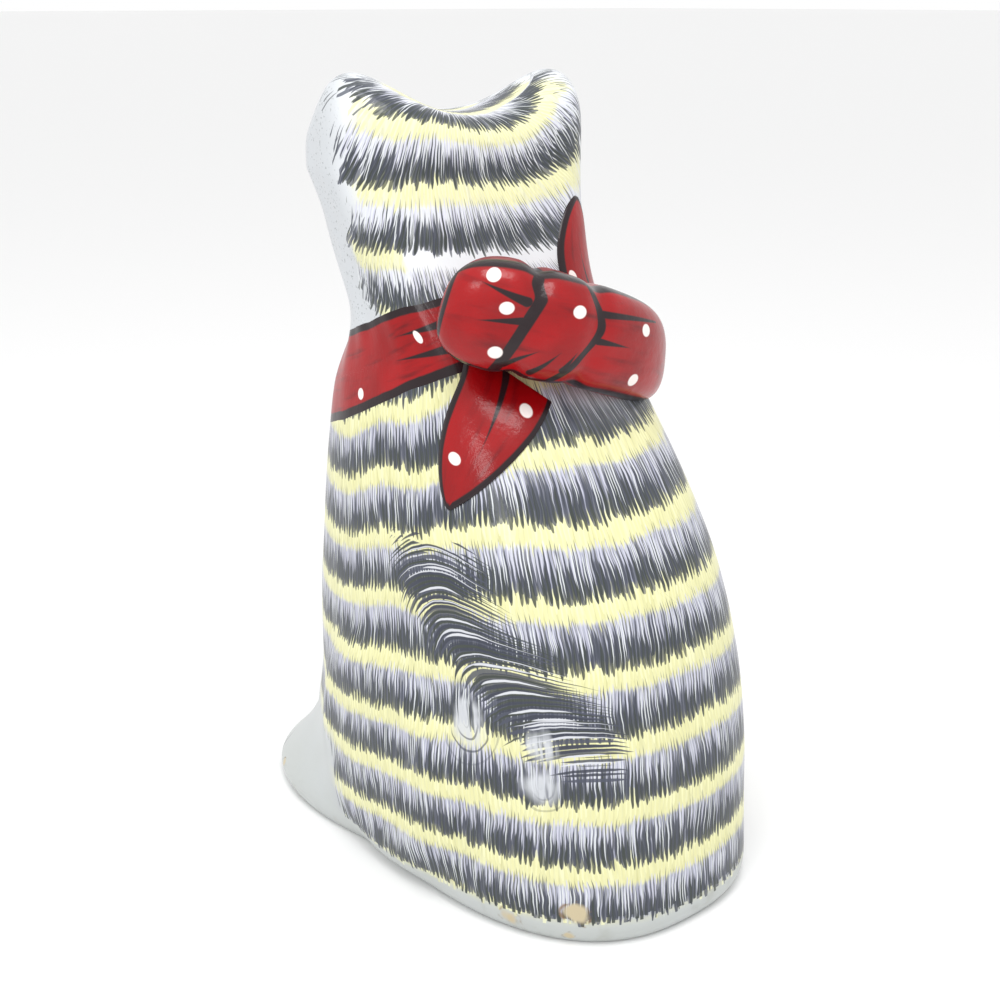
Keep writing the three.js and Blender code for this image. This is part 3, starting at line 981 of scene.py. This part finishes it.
# %% Bow paint
bow_paint, tree, shader = varnished("bow paint", 0.5, RED)
along, rise, round_bow = attribute(tree, "bow")
where = here(tree)
BOW_MM = 52  # millimetres to a unit along the bow
x = along * BOW_MM
streaks = cloud(tree, vector(tree, along * 2.5, rise * 0.22, 1.0), 1.0, 3.0)
paint = brushed_red(tree, where, streaks)
wobble = (cloud(tree, where, 60.0) - 0.5) * 1.2
left_line = -0.475 + rise * 0.005 - step(9, 15, rise) * 0.06
right_line = 0.03 - ((rise - 4) * (rise - 4) + 20).math("SQRT") * 0.012
lines = [
    step(0.0, 0.5, 2.2 + wobble * 0.5 - (x - left_line * BOW_MM).size()),
    step(0.0, 0.5, 1.6 + wobble * 0.5 - (x - right_line * BOW_MM).size()),
]
FOLDS = (
    ((-0.50, 8), (-0.80, 12), 1.9, 0.1), ((-0.50, 1.5), (-0.76, -1.0), 1.6, 0.1),
    ((-0.36, -15), (-0.24, -6), 1.4, 0.2), ((-0.52, -14), (-0.36, -7), 1.5, 0.2),
    ((-0.02, 8.5), (0.48, 10.5), 1.5, 0.6), ((-0.02, -0.5), (0.24, -0.6), 1.5, 0.1),
    ((-0.20, -12), (-0.14, -5), 1.3, 0.2),
)
for (x1, y1), (x2, y2), wide, narrow in FOLDS:
    lines.append(fold(x, rise, (x1 * BOW_MM, y1), (x2 * BOW_MM, y2), wide, narrow))
turned = round_bow.size() + wobble * 2
edge = step(58, 64, turned) * (1 - step(84, 90, turned))
edge = edge.most(step(0.93, 0.94, along.size()) * (1 - step(0.965, 0.975, along.size())))
paint = over(tree, paint, BLACK, any_of([*lines, edge]))
BOW_DOTS = ((-0.72, 14.3), (-0.6, 4.9), (-0.2, 8.0), (-0.59, -10.3), (0.35, 6.6), (0.34, -10.9))
paint = over(tree, paint, SPOT, spots(tree, x, rise, [(a * BOW_MM, r) for a, r in BOW_DOTS], 2.2))
rough_paper = cloud(tree, where, 220.0, 4.0, 0.6)
dress(tree, shader, paint, 0.3 + rough_paper * 0.1, rough_paper + streaks * 0.4, 0.55)
neck_bow.data.materials.append(bow_paint)
print("bow paint:", len(tree.nodes), "nodes")

# %% The ribbon ends' paint
end_paint, tree, shader = varnished("ribbon end paint", 0.45, RED)
angle, up, _ = attribute(tree, "place")
share, along, to_edge = attribute(tree, "leaf")
where = here(tree)
streaks = cloud(tree, vector(tree, along * 2.0, share * 3.5, 5.0), 1.0, 3.0)
paint = brushed_red(tree, where, streaks)
wobble = (cloud(tree, where, 60.0) - 0.5) * 0.08
edge = (1 - step(2.0, 2.7, to_edge + wobble * 8)).most(step(0.93, 0.96, along + wobble))
crease = fold(share * 12, along * 45, (1.0, 0.0), (-0.5, 26.0), 1.3, 0.1)
paint = over(tree, paint, BLACK, edge.most(crease))
dots = spots(tree, angle, up, [(26, 187), (52, 171), (-36, 226)], 2.2)
paint = over(tree, paint, SPOT, dots)
rough_paper = cloud(tree, where, 220.0, 4.0, 0.6)
dress(tree, shader, paint, 0.3 + rough_paper * 0.1, rough_paper + streaks * 0.4, 0.5)
for piece in (lower_ribbon_end, upper_ribbon_end):
    piece.data.materials.append(end_paint)
print("ribbon end paint:", len(tree.nodes), "nodes")

# %% [markdown]
# ## Table, light and camera
#
# A plain white table in pale surroundings shows the paint as it is. The surroundings give most of
# the light, and two soft lamps above add some direction. The camera stands behind the cat, on its
# left, and looks a little down.

# %% The table
table_mesh = bpy.data.meshes.new("table")
table_mesh.from_pydata([(-40, -40, 0), (40, -40, 0), (40, 40, 0), (-40, 40, 0)], [], [(0, 1, 2, 3)])
table = bpy.data.objects.new("table", table_mesh)
table.location.z = low.z - 0.0002
bpy.context.scene.collection.objects.link(table)
table_paint = bpy.data.materials.new("white table")
table_paint.use_nodes = True
table_shader = table_paint.node_tree.nodes["Principled BSDF"]
table_shader.inputs["Base Color"].default_value = (0.9, 0.9, 0.9, 1)
table_shader.inputs["Roughness"].default_value = 0.8
table_mesh.materials.append(table_paint)
print("table at height", round(table.location.z, 4), "m")

# %% The light
world = bpy.data.worlds.new("pale room")
world.use_nodes = True
world.node_tree.nodes["Background"].inputs["Color"].default_value = (1.0, 1.0, 1.0, 1)
world.node_tree.nodes["Background"].inputs["Strength"].default_value = 1.0
bpy.context.scene.world = world


def lamp(name, place, target, size, power_watts):
    """A square area lamp at place, turned to face target, both in metres."""
    data = bpy.data.lights.new(name, "AREA")
    data.size, data.energy = size, power_watts
    obj = bpy.data.objects.new(name, data)
    obj.location = place
    direction = np.array(target) - np.array(place)
    heading = math.atan2(direction[1], direction[0]) - math.pi / 2
    obj.rotation_euler = (math.acos(-direction[2] / np.linalg.norm(direction)), 0, heading)
    bpy.context.scene.collection.objects.link(obj)
    return obj


lamp("overhead lamp", (0.25, 0.3, 1.1), (0, 0, 0.15), 0.5, 5)
lamp("side lamp", (1.2, 0.4, 0.8), (0, 0, 0.15), 0.3, 2)
bpy.context.scene.view_settings.view_transform = "Standard"

# %% The camera
camera_data = bpy.data.cameras.new("camera")
camera_data.sensor_width = 36.0
camera_data.lens = 53.64
CAMERA_PLACE = np.array([361.2, 430.5, 325.0])  # mm
LOOKS_DOWN = 18.6  # degrees
HEADING = 140  # degrees
camera = bpy.data.objects.new("camera", camera_data)
camera.location = (CAMERA_PLACE - CENTRE) * MM
camera.rotation_euler = (math.radians(90 - LOOKS_DOWN), 0, math.radians(HEADING))
bpy.context.scene.collection.objects.link(camera)
bpy.context.scene.camera = camera
print("camera at, in metres:", [round(part, 3) for part in camera.location])
